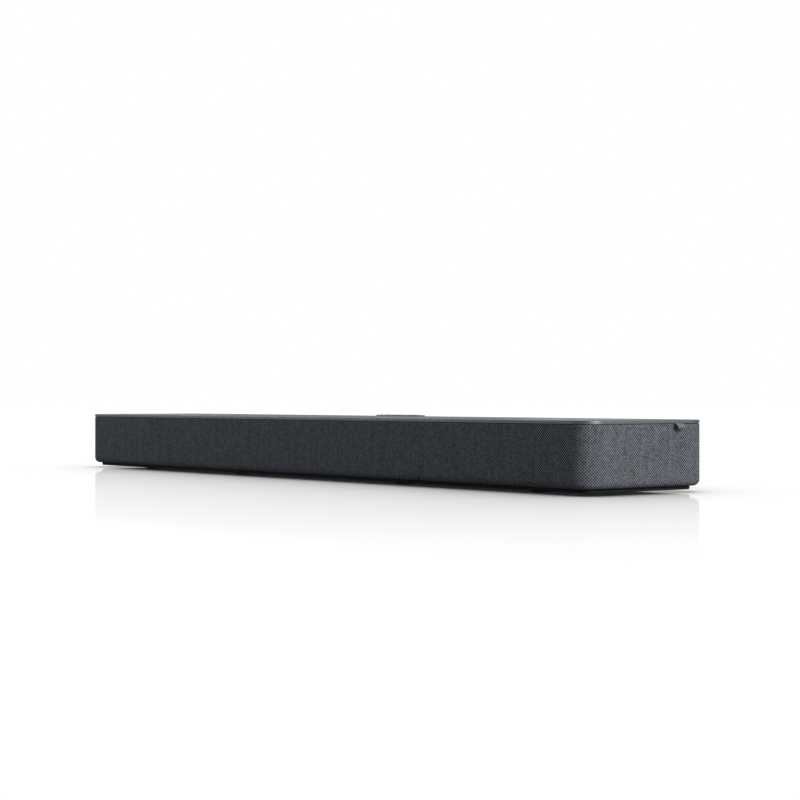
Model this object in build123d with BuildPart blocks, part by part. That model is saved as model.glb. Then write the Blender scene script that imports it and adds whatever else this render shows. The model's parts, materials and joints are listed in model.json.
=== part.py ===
"""A long, low soundbar: a fabric-wrapped speaker cabinet under a flat metal deck, standing on a plinth.

Frame: X along the length, -Y the front, +Z up. The origin is on the standing surface, at the middle.
Each sub-part is built at its own place in that frame and written to parts/ as one STEP file.
All sizes are in millimetres.
"""

import os
from math import cos, radians, sin, tan

from build123d import *

# Overall body
LENGTH = 1060.0
DEPTH = 180.0
HEIGHT = 78.0  # standing surface to the top of the deck
CORNER = 22.0  # plan radius of the four upright corners
FRONT = -DEPTH / 2
BACK = DEPTH / 2
FIT = 0.1  # gap between pieces that seat on each other

# Levels, from the standing surface up
FOOT_HEIGHT = 3.0
BODY_BOTTOM = 7.0
FABRIC_TOP = 73.7
DECK_BOTTOM = 74.5

# Fabric sleeve and the moulded frame it is stretched over
FABRIC = 1.0
FRAME_WALL = 2.4
HEM_RADIUS = 7.0  # the rounded lower edge
HEM_REACH = 9.0  # how far the sleeve turns in under the body
SOUND_WINDOW = (56.0, 46.0)
SOUND_WINDOW_RIB = 7.0

# Rear panel
PANEL_HALF = 486.0  # half the length of the rear panel between the sleeve's two ends
REAR_SCREW_SPOTS = [(x, z) for x in (-470, -150, 150, 470) for z in (13.0, 67.0)]
VENT_X = 220.0
VENT_Z = 42.0
VENT_SLOT = (34.0, 2.0)
VENT_PITCH = 6.0

# Cabinet
WALL = 3.0
CABINET_BOTTOM = 10.5
CABINET_TOP = DECK_BOTTOM - FIT
CABINET_HALF = LENGTH / 2 - 4.0
CABINET_FRONT = FRONT + 14.0
CABINET_BACK = BACK - 4.0
FLOOR = CABINET_BOTTOM + WALL
PARTITION_X = 330.0

# Plinth and feet
PLINTH_INSET = 10.6
PLINTH_WALL = 2.5
PLINTH_CORNER = 8.0
PLUG_RADIUS = 4.0  # the part of a foot that goes through the plinth
FOOT_RADIUS = 12.5
FOOT_SPOTS = [(x, y) for x in (-415, -175, 175, 415) for y in (-46, 46)]
PLINTH_SCREW_SPOTS = [(x, y) for x in (-500, -245, 245, 500) for y in (-66, 66)]

# Deck, its two grilles and the key strip
DECK_EDGE = 1.2
DECK_SKIN = 1.5
GRILLE_X = 415.0
GRILLE_SIZE = (170.0, 120.0)
GRILLE_CORNER = 12.0
GRILLE_THICK = 1.1
GRILLE_LEDGE = 4.0
STRIP_Y = 81.0
STRIP_SIZE = (88.0, 15.0)
STRIP_THICK = 1.4
STRIP_SLOT = (84.0, 12.0)
KEY_NAMES = ["power", "source", "volume_down", "volume_up", "play"]
KEY_PITCH = 16.0
KEY_SIZE = (12.8, 8.0)
KEY_PROUD = 0.4
KEY_TRAVEL = 0.6

# Drive units
WOOFER_X = [-430.0, -90.0, 90.0, 430.0]
TWEETER_X = [-365.0, 0.0, 365.0]
DRIVER_Z = 40.0
DRIVER_HOLE = 25.5
DRIVER_SCREW_CIRCLE = 27.1
PILOT_HOLE = 1.1
TWEETER_HOLE = 13.0
UPFIRE_TILT = 15.0
UPFIRE_SEAT = (5.0, 58.0)  # Y and Z of the middle of the tilted baffle

# Connector bay in the back
BAY_HALF = 118.0
BAY_LOW, BAY_HIGH = 18.0, 58.0
BAY_FACE = 62.0  # the plane the sockets look out of
TRAY_WALL = 2.0
SOCKET_FACE = BAY_FACE + 0.8
MAINS_SPOT = (-92.0, 37.0)
MAINS_SIZE = (24.0, 16.0)
HDMI_X = [-46.0, -22.0]
HDMI_SIZE = (15.0, 6.2)
USB_X = 2.0
USB_SIZE = (14.4, 6.8)
LAN_X = 32.0
LAN_SIZE = (16.0, 13.5)
OPTICAL_X = 66.0
OPTICAL_SIZE = (10.0, 10.0)
SOCKET_GAP = 0.4  # how much wider and taller than its socket each window in the bay is

# Circuit boards, on standoffs moulded in the cabinet's floor
BOARD = 1.6
BOARD_BOTTOM = 20.0
BOARD_TOP = BOARD_BOTTOM + BOARD
SOCKET_LOW = BOARD_TOP + FIT
BOARDS = {
    "power_board": ((-300, -40), (-130, 55)),
    "main_board": ((-62, -38), (86, 59.5)),
    "amplifier_board": ((130, -40), (300, 55)),
}
STANDOFF_SPOTS = [
    (x, y)
    for (x0, y0), (x1, y1) in BOARDS.values()
    for x in (x0 + 6, x1 - 6)
    for y in (y0 + 6, y1 - 14)
]
STANDOFF_RADIUS = 3.0
KEY_BOARD_Z = 70.6

# Threaded inserts for a wall bracket
INSERT_X = 400.0
INSERT_Z = 40.0
INSERT_BORE = 2.1
INSERT_RADIUS = 3.4
INSERT_LENGTH = 12.0

# Status window in the lower front edge
WINDOW_X = 240.0
WINDOW_SIZE = (26.0, 5.0)
WINDOW_LOW = 7.6

# Tag in the seam of the right end
TAG_Y = 43.0
TAG_WIDTH = 11.0
TAG_DROP = 5.4

# Foam gasket between the deck and the walls below it
GASKET_INSET = 1.2
GASKET_WIDTH = 2.0


def write(part, name):
    """Labels a finished piece and writes it as parts/name.step."""
    part.label = name
    export_step(part, f"parts/{name}.step")


def together(*parts):
    """Several separate solids kept as one node."""
    return Compound(children=[solid for part in parts for solid in part.solids()])


def fused(*parts):
    """Several touching pieces of one moulding made into one solid."""
    with BuildPart() as made:
        add(parts)
    return made.part


def plan(level, inset, corner=None):
    """The body's rounded outline, drawn in by an inset, as a sketch at a level."""
    with BuildSketch(Plane.XY.offset(level)) as outline:
        RectangleRounded(LENGTH - 2 * inset, DEPTH - 2 * inset, corner or CORNER - inset)
    return outline


def block(low, high):
    """A plain box between two corners."""
    size = [b - a for a, b in zip(low, high)]
    middle = [(a + b) / 2 for a, b in zip(low, high)]
    with BuildPart(Plane(origin=middle)) as made:
        Box(*size)
    return made.part


def hemmed(inset, bottom, top):
    """A solid body shape with its lower edge rounded, to be hollowed into a sleeve."""
    with BuildPart() as made:
        add(plan(bottom, inset).sketch)
        extrude(amount=top - bottom)
        fillet(made.faces().sort_by(Axis.Z)[0].edges(), HEM_RADIUS - inset)
    return made.part


def turned(seat, *outline):
    """A solid turned about a seat's axis from an outline of (radius, height) points."""
    side = Plane(origin=seat.origin, x_dir=seat.x_dir, z_dir=-seat.y_dir)
    with BuildPart() as made:
        with BuildSketch(side):
            with BuildLine():
                Polyline(*outline, close=True)
            make_face()
        revolve(axis=Axis(seat.origin, seat.z_dir))
    return made.part


def front_seat(x):
    """The mounting plane of a drive unit on the front baffle, looking forward."""
    return Plane(origin=(x, CABINET_FRONT, DRIVER_Z), x_dir=(1, 0, 0), z_dir=(0, -1, 0))


def upfire_seat(x):
    """The mounting plane of an up-firing drive unit, tilted towards the front."""
    tilt = radians(UPFIRE_TILT)
    return Plane(
        origin=(x, *UPFIRE_SEAT), x_dir=(1, 0, 0), z_dir=(0, -sin(tilt), cos(tilt))
    )


# ---------------------------------------------------------------- sleeve, frame, panel


def sleeve(outer_inset, inner_inset, bottom, reach):
    """An open-topped wall with a rounded hem, cut away behind for the rear panel."""
    thick = inner_inset - outer_inset
    outside = hemmed(outer_inset, bottom, FABRIC_TOP)
    inside = hemmed(inner_inset, bottom + thick, HEIGHT)
    with BuildPart() as made:
        add(outside)
        add(inside, mode=Mode.SUBTRACT)
        with BuildSketch(Plane.XY.offset(bottom - 1)):
            RectangleRounded(LENGTH - 2 * reach, DEPTH - 2 * reach, CORNER - reach)
        extrude(amount=thick + 2, mode=Mode.SUBTRACT)
        with Locations((0, BACK, HEIGHT / 2)):
            Box(2 * PANEL_HALF, 2 * reach + 8, 2 * HEIGHT, mode=Mode.SUBTRACT)
        with Locations((WINDOW_X, FRONT, WINDOW_LOW)):
            Box(
                WINDOW_SIZE[0] + 4 * FIT,
                4 * HEM_REACH,
                2 * (WINDOW_SIZE[1] + 2 * FIT),
                mode=Mode.SUBTRACT,
            )
    return made.part


def make_grille_fabric():
    """Acoustic cloth round the front, the ends and the rear corners."""
    return sleeve(0, FABRIC, BODY_BOTTOM, HEM_REACH)


def make_grille_frame():
    """Moulded frame inside the cloth, with windows that let the sound out."""
    middle = (BODY_BOTTOM + FABRIC_TOP) / 2 + 2
    pitch = SOUND_WINDOW[0] + SOUND_WINDOW_RIB
    inset = FABRIC + FIT
    shell = sleeve(inset, inset + FRAME_WALL, BODY_BOTTOM + inset, HEM_REACH + 3)
    with BuildPart() as frame:
        add(shell)
        with BuildSketch(Plane.XZ.offset(BACK - 30)):
            with Locations((0, middle)):
                with GridLocations(pitch, 0, 16, 1):
                    RectangleRounded(*SOUND_WINDOW, 6)
        extrude(amount=40, mode=Mode.SUBTRACT)
        with BuildSketch(Plane.YZ.offset(-LENGTH)):
            with Locations((0, middle)):
                with GridLocations(pitch, 0, 2, 1):
                    RectangleRounded(*SOUND_WINDOW, 6)
        extrude(amount=2 * LENGTH, mode=Mode.SUBTRACT)
    return frame.part


def make_rear_panel():
    """Moulded back cover with the connector bay's window, vents, and screw seats."""
    face = CABINET_BACK + 3 * FIT
    with BuildPart() as panel:
        with BuildSketch(Plane.XZ.offset(-face)):
            with Locations((0, (BODY_BOTTOM + FABRIC_TOP) / 2)):
                Rectangle(2 * (PANEL_HALF - 0.4), FABRIC_TOP - BODY_BOTTOM)
        extrude(amount=face - BACK)
        chamfer(panel.faces().sort_by(Axis.Y)[-1].edges(), 0.6)
        with BuildSketch(Plane.XZ.offset(-BACK - 1)):
            with Locations((0, (BAY_LOW + BAY_HIGH) / 2)):
                RectangleRounded(2 * BAY_HALF, BAY_HIGH - BAY_LOW, 2)
            for side in (-1, 1):
                with Locations((side * VENT_X, VENT_Z)):
                    with GridLocations(VENT_PITCH, 0, 24, 1):
                        SlotOverall(*VENT_SLOT, rotation=90)
                with Locations((side * INSERT_X, INSERT_Z)):
                    Circle(INSERT_RADIUS + FIT)
        extrude(amount=10, mode=Mode.SUBTRACT)
        with Locations(*[Location((x, BACK, z), (-90, 0, 0)) for x, z in REAR_SCREW_SPOTS]):
            CounterBoreHole(radius=1.7, counter_bore_radius=3.2, counter_bore_depth=1.8)
    return panel.part


# ---------------------------------------------------------------- deck and keys


def make_deck():
    """Flat metal top with a thin eased edge, pocketed below, with openings for grilles and keys."""
    pocket_front = CABINET_FRONT + 4
    pocket_back = CABINET_BACK - 2
    pad = (GRILLE_SIZE[0] + 8, GRILLE_SIZE[1] + 8)
    with BuildPart() as deck:
        add(plan(DECK_BOTTOM, 0).sketch)
        extrude(amount=HEIGHT - DECK_BOTTOM)
        fillet(deck.faces().sort_by(Axis.Z)[-1].edges(), DECK_EDGE)
        with BuildSketch(Plane.XY.offset(DECK_BOTTOM)):
            with Locations((0, (pocket_front + pocket_back) / 2)):
                RectangleRounded(2 * (CABINET_HALF - 4), pocket_back - pocket_front, 12)
        extrude(amount=HEIGHT - DECK_SKIN - DECK_BOTTOM, mode=Mode.SUBTRACT)
        with BuildSketch(Plane.XY.offset(DECK_BOTTOM + 0.2)):
            with GridLocations(2 * GRILLE_X, 0, 2, 1):
                RectangleRounded(*pad, GRILLE_CORNER + 4)
        extrude(amount=HEIGHT - DECK_SKIN - DECK_BOTTOM)
        with BuildSketch(Plane.XY.offset(HEIGHT - GRILLE_THICK - 0.2)):
            with GridLocations(2 * GRILLE_X, 0, 2, 1):
                RectangleRounded(GRILLE_SIZE[0] + 0.4, GRILLE_SIZE[1] + 0.4, GRILLE_CORNER + 0.2)
        extrude(amount=5, mode=Mode.SUBTRACT)
        with BuildSketch(Plane.XY.offset(DECK_BOTTOM - 1)):
            with GridLocations(2 * GRILLE_X, 0, 2, 1):
                RectangleRounded(
                    GRILLE_SIZE[0] - 2 * GRILLE_LEDGE,
                    GRILLE_SIZE[1] - 2 * GRILLE_LEDGE,
                    GRILLE_CORNER - GRILLE_LEDGE,
                )
            with Locations((0, STRIP_Y)):
                Rectangle(*STRIP_SLOT)
        extrude(amount=10, mode=Mode.SUBTRACT)
    return deck.part


def make_top_grille(x):
    """Thin metal grille let into the deck over an up-firing drive unit."""
    with BuildPart() as grille:
        with BuildSketch(Plane(origin=(x, 0, HEIGHT - GRILLE_THICK - 0.1))):
            RectangleRounded(*GRILLE_SIZE, GRILLE_CORNER)
        extrude(amount=GRILLE_THICK)
    return grille.part


def key_x(index):
    """Where a key stands along the strip."""
    return (index - (len(KEY_NAMES) - 1) / 2) * KEY_PITCH


def make_key_bezel():
    """Raised strip round the keys, with a skirt that drops into the deck's slot."""
    with BuildPart() as bezel:
        with BuildSketch(Plane(origin=(0, STRIP_Y, HEIGHT))):
            RectangleRounded(*STRIP_SIZE, 3)
        extrude(amount=STRIP_THICK)
        fillet(bezel.faces().sort_by(Axis.Z)[-1].edges(), 0.5)
        with BuildSketch(Plane(origin=(0, STRIP_Y, HEIGHT))):
            Rectangle(STRIP_SLOT[0] - 4 * FIT, STRIP_SLOT[1] - 4 * FIT)
            Rectangle(STRIP_SLOT[0] - 2.4, STRIP_SLOT[1] - 2.4, mode=Mode.SUBTRACT)
        extrude(amount=-3)
        with BuildSketch(Plane(origin=(0, STRIP_Y, HEIGHT - 1))):
            with GridLocations(KEY_PITCH, 0, len(KEY_NAMES), 1):
                RectangleRounded(KEY_SIZE[0] + 0.3, KEY_SIZE[1] + 0.3, 1.4)
        extrude(amount=5, mode=Mode.SUBTRACT)
    return bezel.part


def make_key(index):
    """One key cap, with the flange that keeps it under the bezel and a foot for its switch."""
    spot = (key_x(index), STRIP_Y)
    flange_top = HEIGHT - 0.05
    flange = 1.2
    top = HEIGHT + STRIP_THICK + KEY_PROUD
    with BuildPart() as key:
        with BuildSketch(Plane(origin=(*spot, flange_top - flange))):
            Rectangle(KEY_SIZE[0] + 1.2, KEY_SIZE[1] + 1.0)
        extrude(amount=flange)
        with BuildSketch(Plane(origin=(*spot, flange_top))):
            RectangleRounded(*KEY_SIZE, 1.2)
        extrude(amount=top - flange_top)
        fillet(key.faces().sort_by(Axis.Z)[-1].edges(), 0.4)
        with BuildSketch(Plane(origin=(*spot, flange_top - flange))):
            Circle(1.5)
        extrude(amount=-0.85)
    return key.part


def make_key_board():
    """Narrow circuit board under the keys."""
    return block((-43, 75, KEY_BOARD_Z), (43, 85.6, KEY_BOARD_Z + BOARD))


def make_key_switches():
    """Five tactile switches, each with its plunger, soldered to the key board."""
    level = KEY_BOARD_Z + BOARD
    with BuildPart() as switches:
        with BuildSketch(Plane(origin=(0, STRIP_Y, level))):
            with GridLocations(KEY_PITCH, 0, len(KEY_NAMES), 1):
                Rectangle(6, 6)
        extrude(amount=2.4)
        with BuildSketch(Plane(origin=(0, STRIP_Y, level + 2.4))):
            with GridLocations(KEY_PITCH, 0, len(KEY_NAMES), 1):
                Circle(1.6)
        extrude(amount=0.6)
    return switches.part


# ---------------------------------------------------------------- cabinet and plinth


def make_cabinet():
    """Open-topped tub that carries the drive units, boards, and every other piece."""
    middle = (CABINET_FRONT + CABINET_BACK) / 2
    size = (2 * CABINET_HALF, CABINET_BACK - CABINET_FRONT)
    holes = [(x, DRIVER_HOLE) for x in WOOFER_X] + [(x, TWEETER_HOLE) for x in TWEETER_X]
    with BuildPart() as cabinet:
        with BuildSketch(Plane(origin=(0, middle, CABINET_BOTTOM))):
            RectangleRounded(*size, CORNER - 4)
        extrude(amount=CABINET_TOP - CABINET_BOTTOM)
        fillet(cabinet.faces().sort_by(Axis.Z)[0].edges(), 4.5)
        with BuildSketch(Plane(origin=(0, middle, FLOOR))):
            RectangleRounded(size[0] - 2 * WALL, size[1] - 2 * WALL, CORNER - 4 - WALL)
            with GridLocations(2 * PARTITION_X, 0, 2, 1):
                Rectangle(WALL, size[1], mode=Mode.SUBTRACT)
            with Locations(*[(x, y - middle) for x, y in PLINTH_SCREW_SPOTS]):
                Circle(4.5, mode=Mode.SUBTRACT)
        extrude(amount=CABINET_TOP, mode=Mode.SUBTRACT)
        with BuildSketch(Plane(origin=(0, 0, FLOOR))):
            with Locations(*STANDOFF_SPOTS):
                Circle(STANDOFF_RADIUS)
        extrude(amount=BOARD_BOTTOM - FLOOR)
        for side in (-1, 1):
            boss = Plane(
                origin=(side * INSERT_X, CABINET_BACK - INSERT_LENGTH, INSERT_Z),
                z_dir=(0, 1, 0),
            )
            with BuildSketch(boss):
                Circle(7)
            extrude(amount=INSERT_LENGTH)
            with BuildSketch(boss.offset(2)):
                Circle(INSERT_RADIUS + FIT)
            extrude(amount=INSERT_LENGTH, mode=Mode.SUBTRACT)
        for x, radius in holes:
            with BuildSketch(front_seat(x)):
                Circle(radius)
            extrude(amount=-2 * WALL, mode=Mode.SUBTRACT)
        for x in WOOFER_X:
            with BuildSketch(front_seat(x)):
                with PolarLocations(DRIVER_SCREW_CIRCLE, 4, 45):
                    Circle(PILOT_HOLE)
            extrude(amount=-2 * WALL, mode=Mode.SUBTRACT)
        with Locations((0, CABINET_BACK, (BAY_LOW + BAY_HIGH) / 2)):
            Box(
                2 * (BAY_HALF + TRAY_WALL + FIT),
                4 * WALL,
                BAY_HIGH - BAY_LOW + 2 * (TRAY_WALL + FIT),
                mode=Mode.SUBTRACT,
            )
        with Locations((0, CABINET_BACK - WALL, CABINET_TOP)):
            Box(90, 4 * WALL, 2 * (CABINET_TOP - KEY_BOARD_Z + FIT), mode=Mode.SUBTRACT)
        with BuildSketch(Plane.XY):
            with Locations(*PLINTH_SCREW_SPOTS):
                Circle(1.6)
        extrude(amount=30, mode=Mode.SUBTRACT)
        with Locations(*STANDOFF_SPOTS):
            with Locations((0, 0, BOARD_BOTTOM)):
                Hole(radius=1.3, depth=5)
        with Locations(*[Location((x, CABINET_BACK, z), (-90, 0, 0)) for x, z in REAR_SCREW_SPOTS]):
            Hole(radius=1.6, depth=WALL)
    return cabinet.part


def make_plinth():
    """Dark tray under the body, set in from its outline, that carries the feet."""
    top = CABINET_BOTTOM - 3 * FIT
    step = PLINTH_INSET + 3
    with BuildPart() as plinth:
        add(plan(FOOT_HEIGHT, PLINTH_INSET).sketch)
        extrude(amount=BODY_BOTTOM - FOOT_HEIGHT)
        chamfer(plinth.faces().sort_by(Axis.Z)[0].edges(), 0.8)
        add(plan(BODY_BOTTOM, step, PLINTH_CORNER).sketch)
        extrude(amount=top - BODY_BOTTOM)
        add(plan(FOOT_HEIGHT + PLINTH_WALL, step + PLINTH_WALL, PLINTH_CORNER - 2).sketch)
        extrude(amount=top, mode=Mode.SUBTRACT)
        with BuildSketch(Plane.XY.offset(FOOT_HEIGHT)):
            with Locations(*PLINTH_SCREW_SPOTS):
                Circle(5)
        extrude(amount=top - FOOT_HEIGHT)
        with BuildSketch(Plane.XY):
            with Locations(*FOOT_SPOTS):
                Circle(PLUG_RADIUS + FIT)
        extrude(amount=top, mode=Mode.SUBTRACT)
        with Locations(*[Location((x, y, FOOT_HEIGHT), (180, 0, 0)) for x, y in PLINTH_SCREW_SPOTS]):
            CounterSinkHole(radius=1.8, counter_sink_radius=3.4)
    return plinth.part


def make_feet():
    """Eight round rubber feet, each with a plug that presses into the plinth."""
    return together(
        *[
            turned(
                Plane(origin=(x, y, 0)),
                (0, 0),
                (FOOT_RADIUS - 1, 0),
                (FOOT_RADIUS, 1),
                (FOOT_RADIUS, FOOT_HEIGHT),
                (PLUG_RADIUS, FOOT_HEIGHT),
                (PLUG_RADIUS, FOOT_HEIGHT + PLINTH_WALL + 1),
                (0, FOOT_HEIGHT + PLINTH_WALL + 1),
            )
            for x, y in FOOT_SPOTS
        ]
    )


# ---------------------------------------------------------------- small visible pieces


def make_status_window():
    """Smoked lens in the lower front edge, before the status light and remote receiver."""
    half = WINDOW_SIZE[0] / 2
    front = FRONT + 0.3
    with BuildPart() as lens:
        with BuildSketch(Plane.YZ.offset(WINDOW_X - half)):
            with BuildLine():
                Polyline(
                    (front + 2.6, WINDOW_LOW),
                    (FRONT + 8.8, WINDOW_LOW),
                    (FRONT + 8.8, WINDOW_LOW + WINDOW_SIZE[1]),
                    (front, WINDOW_LOW + WINDOW_SIZE[1]),
                    (front, WINDOW_LOW + 2.6),
                )
                RadiusArc((front, WINDOW_LOW + 2.6), (front + 2.6, WINDOW_LOW), -2.6)
            make_face()
        extrude(amount=WINDOW_SIZE[0])
        fillet(lens.edges().filter_by(Axis.Z).group_by(Axis.Y)[0], 1.0)
    return lens.part


def make_status_board():
    """Small upright board with the status light and the remote receiver."""
    face = CABINET_FRONT - FIT - BOARD
    return fused(
        block((WINDOW_X - 13, face, 11), (WINDOW_X + 13, face + BOARD, 25)),
        block((WINDOW_X - 8, face - 1.2, 11.5), (WINDOW_X - 5, face, 14)),
        block((WINDOW_X + 1, face - 3, 11.2), (WINDOW_X + 8, face, 17)),
    )


def make_side_tag():
    """Sloping metal tag with a turned-down lip, held in the seam above the cloth of the right end."""
    seam = FABRIC_TOP + FIT
    edge = LENGTH / 2
    low = FABRIC_TOP - TAG_DROP
    with BuildPart() as tag:
        with BuildSketch(Plane.XZ.offset(-(TAG_Y - TAG_WIDTH / 2))):
            with BuildLine():
                Polyline(
                    (edge - 3.6, seam),
                    (edge - 3.6, seam + 0.6),
                    (edge + 2.0, seam + 0.6),
                    (edge + 3.2, seam - 0.2),
                    (edge + 6.2, low + 3.0),
                    (edge + 6.6, low + 2.2),
                    (edge + 6.6, low + 0.7),
                    (edge + 6.0, low),
                    (edge + 4.8, low + 0.3),
                    (edge + 0.6, seam - 0.6),
                    (edge + 0.4, seam),
                    close=True,
                )
            make_face()
        extrude(amount=-TAG_WIDTH)
    return tag.part


def make_deck_gasket():
    """Foam ring that closes the seam between the deck and the walls, open where the tag passes."""
    level = FABRIC_TOP + FIT
    with BuildPart() as gasket:
        add(plan(level, GASKET_INSET).sketch)
        extrude(amount=DECK_BOTTOM - FIT - level)
        add(plan(level, GASKET_INSET + GASKET_WIDTH).sketch)
        extrude(amount=DECK_BOTTOM, mode=Mode.SUBTRACT)
        with Locations((LENGTH / 2, TAG_Y, DECK_BOTTOM)):
            Box(8 * GASKET_WIDTH, TAG_WIDTH + 4 * FIT, 8 * GASKET_WIDTH, mode=Mode.SUBTRACT)
    return gasket.part


def make_wall_inserts():
    """Two threaded brass inserts in the back, for a wall bracket."""
    return together(
        *[
            turned(
                Plane(
                    origin=(side * INSERT_X, BACK - FIT - INSERT_LENGTH, INSERT_Z),
                    z_dir=(0, 1, 0),
                ),
                (INSERT_BORE, 0),
                (INSERT_RADIUS, 0),
                (INSERT_RADIUS, INSERT_LENGTH),
                (INSERT_BORE, INSERT_LENGTH),
            )
            for side in (-1, 1)
        ]
    )


# ---------------------------------------------------------------- drive units


def make_driver_frame(seat):
    """Stamped basket with its mounting flange, and the ring magnet and yoke behind it."""
    bowl = turned(
        seat,
        (23.6, 0),
        (23.6, -8),
        (15.6, -16.5),
        (7.9, -16.5),
        (7.9, -18),
        (16.4, -18),
        (25, -8.6),
        (25, 0),
        (29, 0),
        (29, 1.5),
        (23.6, 1.5),
    )
    with BuildPart() as basket:
        add(bowl)
        with BuildSketch(seat):
            with PolarLocations(DRIVER_SCREW_CIRCLE, 4, 45):
                Circle(1.2)
        extrude(amount=1.5, mode=Mode.SUBTRACT)
        with BuildSketch(seat.offset(-9)):
            with PolarLocations(20, 6):
                SlotCenterToCenter(7, 5, rotation=90)
        extrude(amount=-7.2, mode=Mode.SUBTRACT)
    magnet = turned(seat, (8.2, -18.1), (17, -18.1), (17, -26), (8.2, -26))
    yoke = turned(seat, (0, -29), (15.5, -29), (15.5, -26.1), (6, -26.1), (6, -17), (0, -17))
    return together(basket.part, magnet, yoke)


def make_driver_cone(seat):
    """Paper cone, dust cap, and coil former, which move together along the axis."""
    return turned(
        seat,
        (7.5, -11.5),
        (19.4, -0.9),
        (20.9, -0.9),
        (20.9, 0),
        (19.0, 0),
        (7.5, -10.2),
        (4.2, -7.7),
        (0, -6.7),
        (0, -7.6),
        (3.9, -8.5),
        (6.7, -10.9),
        (6.7, -21.5),
        (7.5, -21.5),
    )


def make_driver_surround(seat):
    """Rubber roll that dips between the cone's rim and the basket's flange."""
    side = Plane(origin=seat.origin, x_dir=seat.x_dir, z_dir=-seat.y_dir)
    inner, outer = 21.2, 23.3
    rim, flange, thick = 0.3, 1.6, 0.4
    middle = (inner + outer) / 2
    dip = -1.6
    with BuildPart() as roll:
        with BuildSketch(side):
            with BuildLine():
                Line((inner - 1.4, rim + thick), (inner - 1.4, rim))
                Line((inner - 1.4, rim), (inner, rim))
                Line((inner, rim), (inner, dip + 0.8))
                ThreePointArc((inner, dip + 0.8), (middle, dip - 0.2), (outer, dip + 0.8))
                Line((outer, dip + 0.8), (outer, flange))
                Line((outer, flange), (outer + 1.6, flange))
                Line((outer + 1.6, flange), (outer + 1.6, flange + thick))
                Line((outer + 1.6, flange + thick), (outer - thick, flange + thick))
                Line((outer - thick, flange + thick), (outer - thick, dip + 0.8))
                ThreePointArc(
                    (outer - thick, dip + 0.8), (middle, dip + 0.2), (inner + thick, dip + 0.8)
                )
                Line((inner + thick, dip + 0.8), (inner + thick, rim + thick))
                Line((inner + thick, rim + thick), (inner - 1.4, rim + thick))
            make_face()
        revolve(axis=Axis(seat.origin, seat.z_dir))
    return roll.part


def make_tweeter(seat):
    """Dome tweeter: faceplate with its soft dome, and the magnet behind."""
    face = turned(
        seat,
        (0, 1.2),
        (4.5, 2.4),
        (6.5, 0.9),
        (9, 0.6),
        (17, 2.0),
        (17, 0),
        (12.6, 0),
        (12.6, -3.4),
        (0, -3.4),
    )
    magnet = turned(seat, (0, -3.5), (11, -3.5), (11, -13), (0, -13))
    return together(face, magnet)


def make_driver_screws():
    """Four screws for each front and up-firing drive unit."""
    screws = []
    for seat in [front_seat(x) for x in WOOFER_X] + [upfire_seat(x) for x in (-GRILLE_X, GRILLE_X)]:
        for spot in PolarLocations(DRIVER_SCREW_CIRCLE, 4, 45).locations:
            at = Plane(seat.location * spot)
            screws.append(
                turned(
                    at,
                    (0, -5),
                    (1.0, -5),
                    (1.0, 1.6),
                    (1.8, 1.6),
                    (1.8, 2.3),
                    (1.2, 2.9),
                    (0, 2.9),
                )
            )
    return together(*screws)


def make_upfire_chamber(x):
    """Sealed box with a tilted top that aims its drive unit at the ceiling."""
    half = 39.0
    front, back = -29.0, 39.0
    rise = tan(radians(UPFIRE_TILT))
    seat_y, seat_z = UPFIRE_SEAT

    def roof(y, drop=0.0):
        """A point on the tilted roof, or below it by a drop."""
        return (y, seat_z + (y - seat_y) * rise - drop)

    with BuildPart() as chamber:
        with BuildSketch(Plane.YZ.offset(x - half)):
            Polygon(
                (front, FLOOR + FIT),
                (back, FLOOR + FIT),
                roof(back),
                roof(front),
                align=None,
            )
        extrude(amount=2 * half)
        with BuildSketch(Plane.YZ.offset(x - half + WALL)):
            Polygon(
                (front + WALL, FLOOR),
                (back - WALL, FLOOR),
                roof(back - WALL, WALL),
                roof(front + WALL, WALL),
                align=None,
            )
        extrude(amount=2 * (half - WALL), mode=Mode.SUBTRACT)
        with BuildSketch(upfire_seat(x)):
            Circle(DRIVER_HOLE)
            with PolarLocations(DRIVER_SCREW_CIRCLE, 4, 45):
                Circle(PILOT_HOLE)
        extrude(amount=-2 * WALL, mode=Mode.SUBTRACT)
    return chamber.part


# ---------------------------------------------------------------- connector bay and boards


def make_connector_tray():
    """Recessed tray in the back whose floor the sockets look through."""
    outside = block(
        (-BAY_HALF - TRAY_WALL, BAY_FACE - TRAY_WALL, BAY_LOW - TRAY_WALL),
        (BAY_HALF + TRAY_WALL, CABINET_BACK + FIT, BAY_HIGH + TRAY_WALL),
    )
    recess = block((-BAY_HALF, BAY_FACE, BAY_LOW), (BAY_HALF, BACK, BAY_HIGH))
    on_board = [(x, HDMI_SIZE) for x in HDMI_X]
    on_board += [(USB_X, USB_SIZE), (LAN_X, LAN_SIZE), (OPTICAL_X, OPTICAL_SIZE)]
    with BuildPart() as tray:
        add(outside)
        add(recess, mode=Mode.SUBTRACT)
        with BuildSketch(Plane.XZ.offset(-BAY_FACE - 1)):
            for x, (width, height) in on_board:
                with Locations((x, SOCKET_LOW + height / 2)):
                    Rectangle(width + SOCKET_GAP, height + SOCKET_GAP)
            with Locations(MAINS_SPOT):
                Rectangle(MAINS_SIZE[0] + SOCKET_GAP, MAINS_SIZE[1] + SOCKET_GAP)
        extrude(amount=2 * TRAY_WALL + 2, mode=Mode.SUBTRACT)
    return tray.part


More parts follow.
